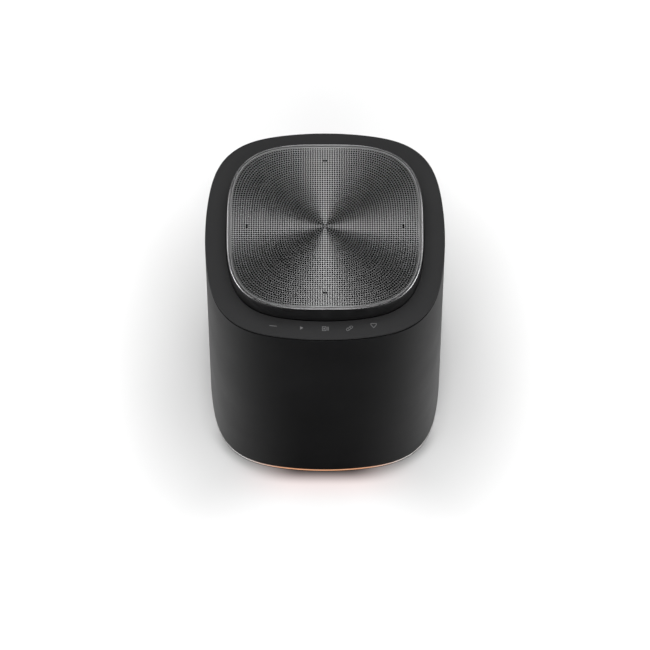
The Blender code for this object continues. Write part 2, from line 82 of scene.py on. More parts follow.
def squircle(theta, n=SQ_N, c8=SQ_C8):
    """Polar radius of the plan outline for a half width of 1; theta may be an array."""
    c, s = np.abs(np.cos(theta)), np.abs(np.sin(theta))
    r = (c ** n + s ** n) ** (-1.0 / n)
    return r * (1.0 + c8 * (1.0 - np.cos(8.0 * theta)))


def make(name, verts, faces, mat, smooth=True, angle=30.0, body=ENCLOSURE):
    """A mesh piece in millimetres, riding on the enclosure."""
    mesh = bpy.data.meshes.new(name)
    mesh.from_pydata([tuple(float(c) * MM for c in v) for v in verts], [], faces)
    mesh.update()
    obj = bpy.data.objects.new(name, mesh)
    bpy.context.scene.collection.objects.link(obj)
    tidy(obj, mat, smooth, angle)
    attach(obj, body)
    return obj


def tidy(obj, mat, smooth=True, angle=30.0):
    obj.data.materials.clear()
    for m in mat if isinstance(mat, (list, tuple)) else [mat]:
        obj.data.materials.append(m)
    if smooth:
        obj.data.shade_smooth()
        obj.data.set_sharp_from_angle(angle=math.radians(angle))


def rounded(points, steps=4):
    """A profile of (r, z) or (r, z, fillet) with the marked corners rounded."""
    out = []
    n = len(points)
    for i, p in enumerate(points):
        if len(p) < 3 or p[2] <= 0:
            out.append((p[0], p[1]))
            continue
        a, b, c = np.array(points[i - 1][:2]), np.array(p[:2]), np.array(points[(i + 1) % n][:2])
        u, v = a - b, c - b
        lu, lv = np.linalg.norm(u), np.linalg.norm(v)
        u, v = u / lu, v / lv
        half = math.acos(max(-1.0, min(1.0, float(u @ v)))) / 2
        d = min(p[2] / math.tan(half), lu * 0.49, lv * 0.49)
        r = d * math.tan(half)
        centre = b + (u + v) / np.linalg.norm(u + v) * (r / math.sin(half))
        s, e = b + u * d - centre, b + v * d - centre
        a0, a1 = math.atan2(s[1], s[0]), math.atan2(e[1], e[0])
        while a1 - a0 > math.pi:
            a1 -= 2 * math.pi
        while a1 - a0 < -math.pi:
            a1 += 2 * math.pi
        for k in range(steps + 1):
            t = a0 + (a1 - a0) * k / steps
            out.append((centre[0] + r * math.cos(t), centre[1] + r * math.sin(t)))
    return out


def swept(profile, segments, closed=True, square=True, centre=(0.0, 0.0), n=SQ_N):
    """Vertices and faces of a profile of (half width or radius, z) carried round the outline."""
    theta = np.linspace(0, 2 * np.pi, segments, endpoint=False)
    k = squircle(theta, n) if square else np.ones(segments)
    cx, cy = k * np.cos(theta), k * np.sin(theta)
    verts, faces, rows = [], [], []
    for r, z in profile:
        if r < 1e-6:
            rows.append([len(verts)] * segments)
            verts.append((centre[0], centre[1], z))
        else:
            rows.append(list(range(len(verts), len(verts) + segments)))
            verts += [(centre[0] + r * x, centre[1] + r * y, z) for x, y in zip(cx, cy)]
    count = len(rows)
    for i in range(count if closed else count - 1):
        a, b = rows[i], rows[(i + 1) % count]
        for j in range(segments):
            q = [a[j], a[(j + 1) % segments], b[(j + 1) % segments], b[j]]
            f = []
            for v in q:
                if v not in f:
                    f.append(v)
            if len(f) > 2:
                faces.append(f)
    return verts, faces


def outward(obj):
    bm = bmesh.new()
    bm.from_mesh(obj.data)
    bmesh.ops.recalc_face_normals(bm, faces=bm.faces)
    bm.to_mesh(obj.data)
    bm.free()


def turned(name, profile, segments, mat, closed=True, square=True, centre=(0.0, 0.0), angle=30.0,
           body=ENCLOSURE):
    verts, faces = swept(profile, segments, closed, square, centre)
    obj = make(name, verts, faces, mat, angle=angle, body=body)
    outward(obj)
    return obj


def cylinder_y(radius, y0, y1, z, segments=64, x=0.0):
    t = np.linspace(0, 2 * np.pi, segments, endpoint=False)
    verts = [(x + radius * math.cos(a), y0, z + radius * math.sin(a)) for a in t]
    verts += [(x + radius * math.cos(a), y1, z + radius * math.sin(a)) for a in t]
    faces = [[j, (j + 1) % segments, segments + (j + 1) % segments, segments + j]
             for j in range(segments)]
    faces += [list(range(segments)), list(range(segments, 2 * segments))[::-1]]
    return verts, faces


def carve(obj, verts, faces):
    """Cuts a closed shape out of a piece, for good."""
    mesh = bpy.data.meshes.new("carver")
    mesh.from_pydata([tuple(float(c) * MM for c in v) for v in verts], [], faces)
    tool = bpy.data.objects.new("carver", mesh)
    bpy.context.scene.collection.objects.link(tool)
    outward(tool)
    mod = obj.modifiers.new("carve", "BOOLEAN")
    mod.operation = "DIFFERENCE"
    mod.solver = "EXACT"
    mod.object = tool
    bpy.context.view_layer.update()
    done = bpy.data.meshes.new_from_object(obj.evaluated_get(bpy.context.evaluated_depsgraph_get()))
    obj.modifiers.clear()
    old = obj.data
    obj.data = done
    bpy.data.meshes.remove(old)
    bpy.data.objects.remove(tool, do_unlink=True)


# ------------------------------------------------------------------ materials


class Mat:
    """A Principled material with a few helpers for building its nodes."""

    def __init__(self, name, colour, rough, metal=0.0, **sockets):
        self.m = bpy.data.materials.new(name)
        self.m.use_nodes = True
        self.t = self.m.node_tree
        self.b = self.t.nodes["Principled BSDF"]
        self.b.inputs["Base Color"].default_value = (*colour, 1)
        self.b.inputs["Roughness"].default_value = rough
        self.b.inputs["Metallic"].default_value = metal
        for k, v in sockets.items():
            self.b.inputs[k.replace("_", " ")].default_value = v
        self.co = self.node("ShaderNodeTexCoord").outputs["Object"]

    def node(self, kind, **props):
        n = self.t.nodes.new(kind)
        for k, v in props.items():
            setattr(n, k, v)
        return n

    def link(self, a, b):
        self.t.links.new(a, b)

    def noise(self, scale, detail=3.0, rough=0.55, vector=None):
        n = self.node("ShaderNodeTexNoise")
        n.inputs["Scale"].default_value = scale
        n.inputs["Detail"].default_value = detail
        n.inputs["Roughness"].default_value = rough
        self.link(vector or self.co, n.inputs["Vector"])
        return n.outputs["Fac"]

    def math(self, op, a, b=None, clamp=False):
        n = self.node("ShaderNodeMath", operation=op, use_clamp=clamp)
        for i, v in enumerate((a, b)):
            if v is None:
                continue
            if isinstance(v, (int, float)):
                n.inputs[i].default_value = v
            else:
                self.link(v, n.inputs[i])
        return n.outputs[0]

    def span(self, value, low, high, out_low, out_high, smooth=True):
        n = self.node("ShaderNodeMapRange")
        n.interpolation_type = "SMOOTHSTEP" if smooth else "LINEAR"
        self.link(value, n.inputs["Value"])
        for k, v in (("From Min", low), ("From Max", high), ("To Min", out_low), ("To Max", out_high)):
            n.inputs[k].default_value = v
        return n.outputs["Result"]

    def ramp(self, value, *stops):
        n = self.node("ShaderNodeValToRGB")
        el = n.color_ramp.elements
        while len(el) < len(stops):
            el.new(0.5)
        for e, (pos, col) in zip(el, stops):
            e.position = pos
            e.color = (*col, 1) if len(col) == 3 else col
        self.link(value, n.inputs["Fac"])
        return n.outputs["Color"]

    def bump(self, height, strength, distance, normal=None):
        n = self.node("ShaderNodeBump")
        n.inputs["Strength"].default_value = strength
        n.inputs["Distance"].default_value = distance
        self.link(height, n.inputs["Height"])
        if normal is not None:
            self.link(normal, n.inputs["Normal"])
        return n.outputs["Normal"]

    def xyz(self):
        n = self.node("ShaderNodeSeparateXYZ")
        self.link(self.co, n.inputs[0])
        return n.outputs

    def stretched(self, sx, sy, sz):
        n = self.node("ShaderNodeMapping")
        n.inputs["Scale"].default_value = (sx, sy, sz)
        self.link(self.co, n.inputs["Vector"])
        return n.outputs["Vector"]

    def set(self, socket, value):
        self.link(value, self.b.inputs[socket])
        return self


def moulded(name, dark, light, rough, spread=0.05, grain=2600.0, depth=0.00002, **sockets):
    """Spark-eroded moulded plastic: a fine even grain, faint tone and gloss drift."""
    m = Mat(name, dark, rough, **sockets)
    drift = m.noise(38.0, 4.0)
    fine = m.noise(grain, 2.0, 0.5)
    tone = m.math("ADD", m.math("MULTIPLY", drift, 0.7), m.math("MULTIPLY", fine, 0.3))
    m.set("Base Color", m.ramp(tone, (0.3, dark), (0.7, light)))
    m.set("Roughness", m.span(tone, 0.3, 0.7, rough - spread, rough + spread))
    m.set("Normal", m.bump(fine, 0.35, depth))
    return m.m


def brushed_steel(name, dark, light, rough, **sockets):
    m = Mat(name, dark, rough, 1.0, **sockets)
    lines = m.noise(9000.0, 2.0, 0.5, m.stretched(1.0, 1.0, 0.03))
    blot = m.noise(90.0, 4.0)
    m.set("Base Color", m.ramp(m.math("ADD", m.math("MULTIPLY", lines, 0.4), m.math("MULTIPLY", blot, 0.6)),
                               (0.35, dark), (0.65, light)))
    m.set("Roughness", m.span(blot, 0.3, 0.7, rough - 0.07, rough + 0.08))
    m.set("Normal", m.bump(lines, 0.12, 0.00001))
    return m.m


def woven(name, dark, light, pitch, rough=0.95, depth=0.00006, **sockets):
    """A plain weave from two crossed waves."""
    m = Mat(name, dark, rough, **sockets)
    x, y, _ = m.xyz()
    k = 2 * math.pi / (pitch * MM)
    wx = m.math("SINE", m.math("MULTIPLY", x, k))
    wy = m.math("SINE", m.math("MULTIPLY", y, k))
    h = m.span(m.math("MULTIPLY", wx, wy), -1.0, 1.0, 0.0, 1.0, smooth=False)
    fuzz = m.noise(6000.0, 2.0)
    mix = m.math("ADD", m.math("MULTIPLY", h, 0.7), m.math("MULTIPLY", fuzz, 0.3))
    m.set("Base Color", m.ramp(mix, (0.2, dark), (0.8, light)))
    m.set("Normal", m.bump(mix, 0.6, depth))
    return m.m


def soft_rubber(name, dark, light, rough=0.8):
    m = Mat(name, dark, rough)
    f = m.noise(1800.0, 4.0, 0.6)
    d = m.noise(60.0, 3.0)
    m.set("Base Color", m.ramp(d, (0.3, dark), (0.7, light)))
    m.set("Roughness", m.span(d, 0.3, 0.7, rough - 0.08, rough + 0.08))
    m.set("Normal", m.bump(f, 0.4, 0.00004))
    return m.m


def board(name):
    """Solder-masked board: copper tracks showing through as slightly raised lighter lines."""
    m = Mat(name, (0.012, 0.09, 0.04), 0.4)
    x, y, z = m.xyz()
    gx = m.math("PINGPONG", m.math("MULTIPLY", x, 900.0), 1.0)
    gy = m.math("PINGPONG", m.math("MULTIPLY", y, 700.0), 1.0)
    pick = m.math("GREATER_THAN", m.noise(120.0, 1.0), 0.5)
    lines = m.math("ADD", m.math("MULTIPLY", m.span(gx, 0.72, 0.8, 0.0, 1.0), pick),
                   m.math("MULTIPLY", m.span(gy, 0.72, 0.8, 0.0, 1.0), m.math("SUBTRACT", 1.0, pick)))
    m.set("Base Color", m.ramp(lines, (0.0, (0.010, 0.075, 0.033)), (1.0, (0.03, 0.17, 0.07))))
    m.set("Roughness", m.span(m.noise(400.0), 0.3, 0.7, 0.32, 0.48))
    m.set("Normal", m.bump(lines, 0.3, 0.00004))
    return m.m


def fibre_paper(name, dark, light):
    m = Mat(name, dark, 0.8)
    f = m.noise(900.0, 6.0, 0.75)
    m.set("Base Color", m.ramp(f, (0.3, dark), (0.75, light)))
    m.set("Roughness", m.span(f, 0.3, 0.7, 0.7, 0.9))
    m.set("Normal", m.bump(f, 0.5, 0.00008))
    return m.m


def winding(name):
    m = Mat(name, (0.72, 0.32, 0.14), 0.3, 0.9)
    _, _, z = m.xyz()
    turns = m.math("PINGPONG", m.math("MULTIPLY", z, 6000.0), 1.0)
    m.set("Base Color", m.ramp(turns, (0.0, (0.30, 0.11, 0.04)), (0.6, (0.80, 0.37, 0.16))))
    m.set("Roughness", m.span(m.noise(300.0), 0.3, 0.7, 0.22, 0.4))
    m.set("Normal", m.bump(turns, 0.7, 0.00006))
    return m.m


def granular(name, dark, light, rough):
    m = Mat(name, dark, rough)
    f = m.noise(1500.0, 5.0, 0.7)
    m.set("Base Color", m.ramp(f, (0.3, dark), (0.7, light)))
    m.set("Roughness", m.span(f, 0.3, 0.7, rough - 0.12, rough + 0.1))
    m.set("Normal", m.bump(f, 0.5, 0.00006))
    return m.m


def foam(name):
    m = Mat(name, (0.02, 0.02, 0.02), 0.95)
    v = m.node("ShaderNodeTexVoronoi")
    v.inputs["Scale"].default_value = 2200.0
    m.link(m.co, v.inputs["Vector"])
    d = v.outputs["Distance"]
    m.set("Base Color", m.ramp(d, (0.0, (0.045, 0.045, 0.045)), (0.6, (0.008, 0.008, 0.008))))
    m.set("Normal", m.bump(d, 0.8, 0.0001))
    return m.m


BODY = moulded("body_black", (0.0060, 0.0060, 0.0064), (0.0082, 0.0082, 0.0086), 0.42, 0.03,
               Specular_IOR_Level=0.5)
DECK = moulded("deck_grey", (0.0145, 0.0145, 0.0149), (0.018, 0.018, 0.0184), 0.6, 0.04,
               Specular_IOR_Level=0.3)
# near-black for the faces in the shadow gap under the deck: painted shade, not a part's own colour
GAP_SHADE = moulded("seam_gap_painted_shade", (0.003, 0.003, 0.003), (0.005, 0.005, 0.005), 0.85, 0.03,
               Specular_IOR_Level=0.15)
MOULD = moulded("inner_black", (0.012, 0.012, 0.012), (0.018, 0.018, 0.018), 0.55, 0.06, depth=0.00004)
BASE = moulded("base_black", (0.014, 0.014, 0.0145), (0.02, 0.02, 0.021), 0.5, 0.06, depth=0.00005)
CLOTH = woven("grille_cloth", (0.0015, 0.0015, 0.0015), (0.004, 0.004, 0.004), 0.35)
SPIDER = woven("spider_cotton", (0.35, 0.2, 0.06), (0.6, 0.38, 0.14), 0.6)
RUBBER = soft_rubber("rubber", (0.012, 0.012, 0.012), (0.02, 0.02, 0.02))
STEEL = brushed_steel("zinc_steel", (0.42, 0.42, 0.44), (0.6, 0.6, 0.61), 0.34)
ALU = brushed_steel("bare_aluminium", (0.6, 0.6, 0.62), (0.74, 0.74, 0.75), 0.36)
PCB = board("circuit_board")
PAPER = fibre_paper("cone_fibre", (0.025, 0.025, 0.026), (0.06, 0.06, 0.06))
COPPER = winding("copper_winding")
FERRITE = granular("ferrite", (0.03, 0.03, 0.033), (0.065, 0.065, 0.07), 0.55)
NYLON = moulded("nylon", (0.6, 0.57, 0.48), (0.72, 0.69, 0.6), 0.45, 0.05, depth=0.00004)
PVC = moulded("black_pvc", (0.012, 0.012, 0.012), (0.02, 0.02, 0.02), 0.38, 0.05, grain=900.0, depth=0.00003)
FILM = moulded("amber_film", (0.36, 0.16, 0.03), (0.5, 0.25, 0.06), 0.3, 0.05, grain=600.0)
FOAM = foam("black_foam")


def spun_metal(name, colour, rough, anisotropy):
    """Concentrically brushed anodised aluminium. Its lines follow the rounded-square rings."""
    m = Mat(name, colour, rough, 1.0, Anisotropic=anisotropy)
    x, y, _ = m.xyz()
    ax = m.math("POWER", m.math("ABSOLUTE", x), SQ_N)
    ay = m.math("POWER", m.math("ABSOLUTE", y), SQ_N)
    ring = m.math("POWER", m.math("ADD", ax, ay), 1.0 / SQ_N)
    vec = m.node("ShaderNodeCombineXYZ")
    m.link(m.math("MULTIPLY", ring, 9000.0), vec.inputs[0])
    angle = m.math("ARCTAN2", y, x)
    m.link(m.math("MULTIPLY", angle, 1.5), vec.inputs[1])
    lines = m.noise(1.0, 3.0, 0.6, vec.outputs[0])
    tone = m.ramp(lines, (0.3, tuple(c * 0.82 for c in colour)), (0.7, tuple(c * 1.15 for c in colour)))
    m.set("Base Color", tone)
    m.set("Roughness", m.span(lines, 0.25, 0.75, rough - 0.05, rough + 0.05))
    m.set("Normal", m.bump(lines, 0.10, 0.000008))
    tangent = m.node("ShaderNodeTangent", direction_type="RADIAL", axis="Z")
    m.set("Tangent", tangent.outputs[0])
    return m.m


# one spun aluminium in two colours: the plain rim's copy is painted darker than the perforated field's, painted
# shade on the same metal
GRILLE = spun_metal("spun_aluminium", (0.77, 0.77, 0.775), 0.35, 0.88)
RIM_SHADED_COPY = spun_metal("rim_aluminium_shaded_copy", (0.62, 0.62, 0.625), 0.34, 0.92)
# the grille holes' walls in near-black: painted shade inside the holes, not the plate's metal
BORE_SHADE = moulded("bore_painted_shade", (0.004, 0.004, 0.004), (0.007, 0.007, 0.007), 0.6, 0.03, Specular_IOR_Level=0.2)
TRIM = spun_metal("trim_aluminium", (0.23, 0.23, 0.235), 0.40, 0.2)
EDGE = brushed_steel("polished_edge", (0.60, 0.60, 0.61), (0.70, 0.70, 0.71), 0.15)


def diffuser():
    """Milky ring lit from behind: warm at the front, dying away towards the front corners."""
    m = Mat("light_diffuser", (0.18, 0.17, 0.165), 0.35)
    x, y, z = m.xyz()
    angle = m.math("ABSOLUTE", m.math("ARCTAN2", x, m.math("MULTIPLY", y, -1.0)))
    fade = m.span(angle, 0.28, 0.72, 1.0, 0.0)
    speck = m.noise(500.0, 3.0)
    tint = m.math("ADD", m.math("MULTIPLY", fade, 0.9), m.math("MULTIPLY", speck, 0.1))
    m.set("Base Color", m.ramp(tint, (0.04, (0.62, 0.61, 0.60)), (0.9, (0.17, 0.16, 0.155))))
    m.set("Roughness", m.span(speck, 0.3, 0.7, 0.3, 0.42))
    glow = m.math("MULTIPLY", fade, m.span(speck, 0.2, 0.8, 0.9, 1.1))
    m.b.inputs["Emission Color"].default_value = (1.0, 0.38, 0.11, 1.0)
    m.set("Emission Strength", m.math("MULTIPLY", glow, 0.60))
    m.set("Normal", m.bump(speck, 0.2, 0.00002))
    return m.m


LIGHT = diffuser()


def printed():
    m = Mat("key_print", (0.10, 0.10, 0.102), 0.6)
    f = m.noise(2500.0, 3.0)
    m.set("Base Color", m.ramp(f, (0.3, (0.085, 0.085, 0.087)), (0.7, (0.115, 0.115, 0.117))))
    m.set("Roughness", m.span(f, 0.3, 0.7, 0.5, 0.65))
    m.set("Normal", m.bump(f, 0.2, 0.00001))
    return m.m


PRINT = printed()

# ------------------------------------------------------------------ carried-over CAD nodes
FINISHES = {
    "shell": BODY, "deck": DECK, "trim": TRIM, "grille": GRILLE, "cloth": CLOTH, "frame": MOULD,
    "light": LIGHT, "rubber": RUBBER, "steel": STEEL, "ferrite": FERRITE, "paper": PAPER,
    "spider_cloth": SPIDER, "copper": COPPER, "pcb": PCB, "alu": ALU, "foam": FOAM, "cable": PVC,
    "ribbon": FILM, "socket": NYLON,
}
slots = {s["node"]: s["material_slot"] for s in frame["record"]["subparts"]}
for node, obj in frame["nodes"].items():
    obj.data.materials.clear()
    obj.data.materials.append(FINISHES[slots[node]])
    obj.data.shade_smooth()
    obj.data.set_sharp_from_angle(angle=math.radians(32))

# ------------------------------------------------------------------ side shell
SEG = 320
h = HALF
shell = turned("side_shell_skin", rounded([
    (h, shell_high[2] - 0.02, 0.32), (h, shell_low[2], 0.3), (h - 2.6, shell_low[2], 0.2),
    (h - 2.6, shell_high[2] - 0.5, 0.1)], 4), SEG, BODY)
carve(shell, *cylinder_y(7.0, 55, 70, JACK_Z))
tidy(shell, [BODY, GAP_SHADE])
for poly in shell.data.polygons:          # the rebate under the deck is painted near-black: painted shade for the shadow gap
    c = poly.center / MM
    if c.z > shell_high[2] - 0.6 and poly.normal.z > 0.9:
        poly.material_index = 1
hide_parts("side_shell")

# ------------------------------------------------------------------ deck
deck = turned("top_deck_skin", rounded([
    (64.9, DECK_Z, 0.42), (64.9, DECK_Z - 0.85, 0.15), (62.0, DECK_Z - 0.85), (62.0, DECK_Z - 2.3),
    (53.75, DECK_Z - 2.3), (53.75, DECK_Z, 0.2)], 4), SEG, [DECK, GAP_SHADE])
# the deck lip's underside and its plug are painted near-black: painted shade in the shadow gap
for poly in deck.data.polygons:
    if poly.center.z / MM < DECK_Z - 0.8:
        poly.material_index = 1
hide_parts("top_deck")

# ------------------------------------------------------------------ trim ring
PLAN = (1.008, 0.989)   # the raised part is a shade wider than it is deep
RING_N = 3.3            # its rings are a little squarer than the body's plan
EDGE_N = 3.22           # and its edge lies between the two


def planned(obj, corners=True):
    """Gives everything above the deck the raised part's plan, easing in from the deck up."""
    for v in obj.data.vertices:
        w = min(1.0, max(0.0, (v.co.z / MM - DECK_Z) / (TOP_Z - 2.0 - DECK_Z)))
        a = math.atan2(v.co.y, v.co.x)
        square = float(squircle(np.array(a), EDGE_N, 0.0) / squircle(np.array(a))) if corners else 1.0
        k = 1 + (square - 1) * w
        v.co.x *= (1 + (PLAN[0] - 1) * w) * k
        v.co.y *= (1 + (PLAN[1] - 1) * w) * k


profile = rounded([
    (51.55, TOP_Z, 0.06), (52.45, TOP_Z, 0.72), (52.75, TOP_Z - 2.2, 1.5),
    (53.5, DECK_Z - 0.2), (53.5, 148.6), (51.55, 148.6)], 7)
trim = turned("trim_ring_skin", profile, SEG, [TRIM, EDGE, RIM_SHADED_COPY], angle=40)
for poly in trim.data.polygons:
    c = poly.center / MM
    if c.z > TOP_Z - 0.75 and poly.normal.z > 0.12:
        poly.material_index = 2 if poly.normal.z > 0.97 else 1
planned(trim)
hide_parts("trim_ring")

# ------------------------------------------------------------------ perforated plate
PITCH = 1.27            # ring spacing on the axes
RINGS = 39
HOLE_R = 0.525
SLOT_RING = 33          # the ring that carries the four microphone slots
SLOT_HALF = (1.72, 0.55)
THICK = 0.85


def ring_angles(k):
    """Angles of ring k's holes, evenly spaced along the ring from each axis."""
    quarter = max(2, round(5 * k / 3))
    t = np.linspace(0, np.pi / 2, 1441)
    r = squircle(t, RING_N, 0.0) * k * PITCH
    p = np.stack([r * np.cos(t), r * np.sin(t)], 1)
    s = np.concatenate([[0], np.cumsum(np.linalg.norm(np.diff(p, axis=0), axis=1))])
    a = np.interp(np.arange(quarter) * s[-1] / quarter, s, t)
    return np.concatenate([a + q * np.pi / 2 for q in range(4)])


def at(half, angle):
    r = half * float(squircle(np.array(angle), RING_N, 0.0))
    return np.array([r * math.cos(angle), r * math.sin(angle)])


class Plate:
    def __init__(self):
        self.v, self.f = [], []
        self.known = {}
        self.bores = []

    def curve_point(self, half, angle):
        key = (round(half, 4), round((angle % (2 * math.pi)) * 1e5))
        if key not in self.known:
            self.known[key] = len(self.v)
            self.v.append((*at(half, angle), PLATE_Z))
        return self.known[key]

    def cell(self, outer, centre, hole):
        """Fills between an outer loop of vertex numbers and a hole, and gives the hole its wall."""
        n0 = len(self.v)
        m = len(hole)
        self.v += [(centre[0] + p[0], centre[1] + p[1], PLATE_Z) for p in hole]
        self.v += [(centre[0] + p[0], centre[1] + p[1], PLATE_Z - THICK) for p in hole]
        for i in range(m):
            j = (i + 1) % m
            self.bores.append(len(self.f))
            self.f.append((n0 + i, n0 + j, n0 + m + j, n0 + m + i))

        def angle_of(i):
            return math.atan2(self.v[i][1] - centre[1], self.v[i][0] - centre[0])

        start = min(range(len(outer)), key=lambda i: angle_of(outer[i]))
        outer = outer[start:] + outer[:start]
        inner = list(range(n0, n0 + m))
        start = min(range(m), key=lambda i: angle_of(inner[i]))
        inner = inner[start:] + inner[:start]
        ao = [angle_of(i) for i in outer]
        ai = [angle_of(i) for i in inner]
        i = j = 0
        while i < len(outer) or j < len(inner):
            no = (ao[i + 1] if i + 1 < len(outer) else ao[0] + 2 * math.pi) if i < len(outer) else 1e9
            ni = (ai[j + 1] if j + 1 < len(inner) else ai[0] + 2 * math.pi) if j < len(inner) else 1e9
            o0, i0 = outer[i % len(outer)], inner[j % len(inner)]
            if no <= ni:
                self.f.append((o0, outer[(i + 1) % len(outer)], i0))
                i += 1
            else:
                self.f.append((i0, o0, inner[(j + 1) % len(inner)]))
                j += 1


def circle(radius, count, turn):
    return [(radius * math.cos(turn + 2 * math.pi * i / count),
             radius * math.sin(turn + 2 * math.pi * i / count)) for i in range(count)]


def slot_loop(turn):
    """A rounded slot whose long side runs across the direction turn."""
    half_len, half_w = SLOT_HALF
    pts = []
    straight = half_len - half_w
    for end in (1, -1):
        for i in range(7):
            a = (0 if end > 0 else math.pi) + math.pi * i / 6
            pts.append((half_w * math.cos(a), end * straight + half_w * math.sin(a)))
    c, s = math.cos(turn), math.sin(turn)
    return [(c * x - s * y, s * x + c * y) for x, y in pts]


plate = Plate()
rings = {k: ring_angles(k) for k in range(1, RINGS + 1)}
cuts = {}
for k, a in rings.items():
    n = len(a)
    nxt = np.append(a[1:], a[0] + 2 * np.pi)
    mids = (a + nxt) / 2          # mids[i] is the boundary after hole i
    cuts[k] = mids
    assert np.all(np.diff(mids) > 0)


def snapped(angle):
    return round((angle % (2 * math.pi)) * 1e5) / 1e5


cuts = {k: np.array(sorted(snapped(x) for x in v)) for k, v in cuts.items()}
edges = {}                        # edges[k]: every angle on the curve between ring k and ring k + 1
for k in range(0, RINGS + 1):
    both = list(cuts.get(k, [])) + list(cuts.get(k + 1, []))
    if k == RINGS:
        both += [snapped(x) for x in np.linspace(0, 2 * np.pi, SEG, endpoint=False)]
    keep = []
    for x in sorted(set(both)):
        if not keep or x - keep[-1] > 1.5e-5:
            keep.append(x)
    edges[k] = np.array(keep)


def between(k, lo, hi):
    """Angles of curve k from lo to hi, both included, going up; hi may pass a full turn."""
    e = edges[k]
    full = np.concatenate([e, e + 2 * np.pi])
    got = full[(full > lo + 1e-5) & (full < hi - 1e-5)]
    return [lo, *got.tolist(), hi]


for k in range(1, RINGS + 1):
    c = cuts[k]
    n = len(c)
    spans = [(c[i], c[i + 1] if i + 1 < n else c[0] + 2 * math.pi) for i in range(n)]
    skip = set()
    if k == SLOT_RING:
        for q in range(4):
            axis = q * math.pi / 2
            hit = next(i for i, (lo, hi) in enumerate(spans)
                       if lo <= axis <= hi or lo <= axis + 2 * math.pi <= hi)
            before, after = (hit - 1) % n, (hit + 1) % n
            skip |= {before, hit, after}
            lo = spans[before][0]
            hi = lo + sum(spans[i][1] - spans[i][0] for i in (before, hit, after))
            inner = [plate.curve_point((k - 0.5) * PITCH, x) for x in between(k - 1, lo, hi)]
            outer = [plate.curve_point((k + 0.5) * PITCH, x) for x in between(k, lo, hi)]
            plate.cell(outer + inner[::-1], at(k * PITCH, axis), slot_loop(axis))
    for i, (lo, hi) in enumerate(spans):
        if i in skip:
            continue
        inner = [plate.curve_point((k - 0.5) * PITCH, x) for x in between(k - 1, lo, hi)]
        outer = [plate.curve_point((k + 0.5) * PITCH, x) for x in between(k, lo, hi)]
        mid = (lo + hi) / 2
        size = HOLE_R if k > 1 else 0.46
        plate.cell(outer + inner[::-1], at(k * PITCH, mid), circle(size, 8, mid + math.pi / 8))
centre_loop = [plate.curve_point(0.5 * PITCH, x) for x in edges[0]]
plate.cell(centre_loop, np.array([0.0, 0.0]), circle(0.44, 8, math.pi / 8))

# the plain rim from the last ring out, over the edge and down
rim_angles = edges[RINGS]
loops = [[plate.curve_point((RINGS + 0.5) * PITCH, x) for x in rim_angles]]
for half, z in [(50.6, PLATE_Z), (51.23, PLATE_Z), (51.34, PLATE_Z - 0.03), (51.41, PLATE_Z - 0.10),
                (51.44, PLATE_Z - 0.20), (51.44, PLATE_Z - THICK), (49.0, PLATE_Z - THICK)]:
    row = []
    for x in rim_angles:
        shape = float(squircle(np.array(x), EDGE_N, 0.0))
        row.append(len(plate.v))
        plate.v.append((half * shape * math.cos(x), half * shape * math.sin(x), z))
    loops.append(row)
rim_from = len(plate.f)
for a, b in zip(loops, loops[1:]):
    for i in range(len(a)):
        j = (i + 1) % len(a)
        plate.f.append((a[i], b[i], b[j], a[j]))

grille = make("grille_plate_perforated", plate.v, [list(f) for f in plate.f], [GRILLE, BORE_SHADE, RIM_SHADED_COPY], angle=40)
# hole walls take the painted shade
for i in plate.bores:
    grille.data.polygons[i].material_index = 1
# the plain rim takes the darker, painted-shade copy of the metal
for i in range(rim_from, len(plate.f)):
    grille.data.polygons[i].material_index = 2
planned(grille, corners=False)
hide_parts("grille_plate")

# ------------------------------------------------------------------ acoustic cloth
c_low, c_high = limits("acoustic_cloth")
cloth = turned("acoustic_cloth_sheet", [(0.0, c_high[2]), (c_high[0], c_high[2]), (c_high[0], c_low[2]),
                                        (0.0, c_low[2])], 160, CLOTH, closed=False)
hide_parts("acoustic_cloth")

# ------------------------------------------------------------------ key symbols
KEY_Z = DECK_Z + 0.02
key_verts, key_faces = [], []


def stroke(points, width, closed=False):
    """A flat printed line of the given width through points, in millimetres."""
    pts = [np.array(p, float) for p in points]
    n = len(pts)
    left, right = [], []
    for i in range(n):
        a = pts[(i - 1) % n] if closed or i else pts[i]
        b = pts[(i + 1) % n] if closed or i < n - 1 else pts[i]
        if closed or 0 < i < n - 1:
            d1, d2 = pts[i] - a, b - pts[i]
            d1, d2 = d1 / np.linalg.norm(d1), d2 / np.linalg.norm(d2)
            d = d1 + d2
            d /= np.linalg.norm(d)
            nrm = np.array([-d[1], d[0]])
            scale = 1.0 / max(0.5, float(nrm @ np.array([-d1[1], d1[0]])))
        else:
            d = (b - a) / np.linalg.norm(b - a)
            nrm = np.array([-d[1], d[0]])
            scale = 1.0
        left.append(pts[i] + nrm * width / 2 * scale)
        right.append(pts[i] - nrm * width / 2 * scale)
    for i in range(n if closed else n - 1):
        j = (i + 1) % n
        slab([left[i], right[i], right[j], left[j]])


def slab(loop):
    """A flat printed patch, 0.02 mm proud of the deck."""
    base = len(key_verts)
    k = len(loop)
    key_verts.extend((p[0], p[1], KEY_Z) for p in loop)
    key_verts.extend((p[0], p[1], DECK_Z - 0.02) for p in loop)
    key_faces.append([base + i for i in range(k)])
    key_faces.append([base + k + i for i in range(k)][::-1])
    for i in range(k):
        j = (i + 1) % k
        key_faces.append([base + j, base + i, base + k + i, base + k + j])


def arc_points(cx, cy, r, a0, a1, count):
    return [(cx + r * math.cos(math.radians(a0 + (a1 - a0) * i / (count - 1))),
             cy + r * math.sin(math.radians(a0 + (a1 - a0) * i / (count - 1)))) for i in range(count)]


LINE = 0.32
